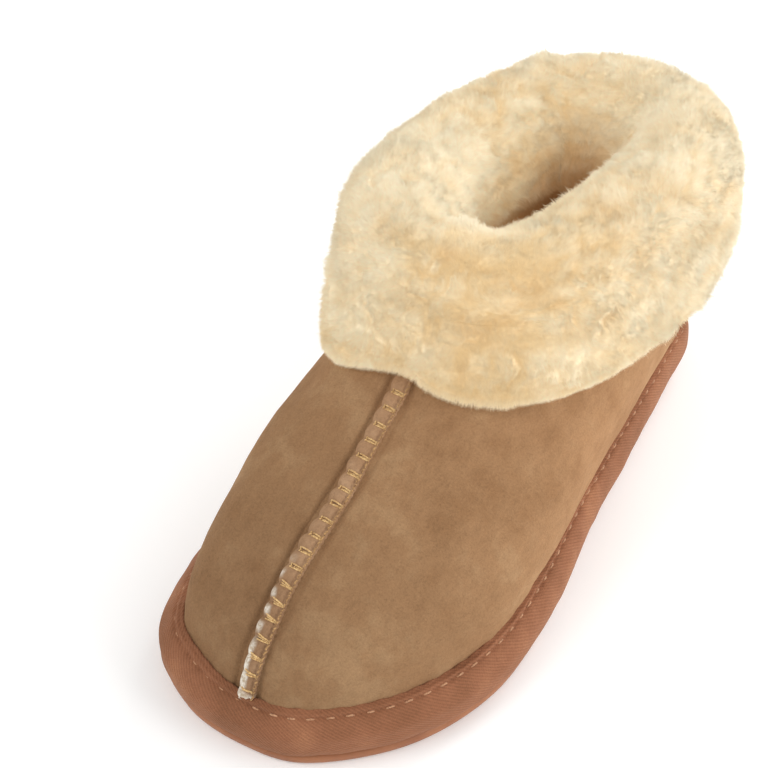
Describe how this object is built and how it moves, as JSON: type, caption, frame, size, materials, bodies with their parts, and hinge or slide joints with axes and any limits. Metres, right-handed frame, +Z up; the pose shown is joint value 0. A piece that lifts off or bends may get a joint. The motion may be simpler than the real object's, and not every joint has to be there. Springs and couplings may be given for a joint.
{
  "type": "moccasin slipper",
  "caption": "Right-foot sheepskin moccasin slipper: suede upper with a zigzag centre seam, turned-down fleece cuff, fleece lining, fabric-wrapped platform and a moulded outsole.",
  "frame": {"origin": "On the outsole's bottom face, near its centre, where the slipper meets the floor.", "axes": "+Z up from the floor, -Y toward the toe, +Y toward the heel, +X toward the medial (inner) side of the right foot."},
  "size_m": [0.1124, 0.2507, 0.1211],
  "materials": {
    "outsole_rubber": "moulded, pebbled, satin",
    "platform_foam": "closed-cell foam",
    "wrap_twill": "twill tape, matt",
    "feather_thread": "bonded thread",
    "board_fibre": "fibre board, matt",
    "sock_skin": "sheepskin, flesh side",
    "suede": "suede, napped, matt",
    "strip_suede": "suede, napped, matt",
    "seam_thread": "polyester thread",
    "row_thread": "polyester thread",
    "fleece": "wool pile",
    "lining_fleece": "wool pile, clipped",
    "cuff_skin": "sheepskin, cut edge showing"
  },
  "bodies": {
    "root": {"outsole": "outsole_rubber", "platform": "platform_foam", "platform_wrap": "wrap_twill", "feather_stitching": "feather_thread", "insole_board": "board_fibre", "insole_sock_skin": "sock_skin", "insole_pile": "lining_fleece", "quarter_medial": "suede", "quarter_lateral": "suede", "lining_medial": "lining_fleece", "lining_lateral": "lining_fleece", "vamp_seam_strip": "strip_suede", "vamp_zigzag_thread": "seam_thread", "vamp_row_stitching": "row_thread", "heel_seam_strip": "strip_suede", "heel_zigzag_thread": "seam_thread", "cuff_skin_medial": "cuff_skin", "cuff_skin_lateral": "cuff_skin", "cuff_fleece_medial": "fleece", "cuff_fleece_lateral": "fleece"}
  },
  "joints": []
}
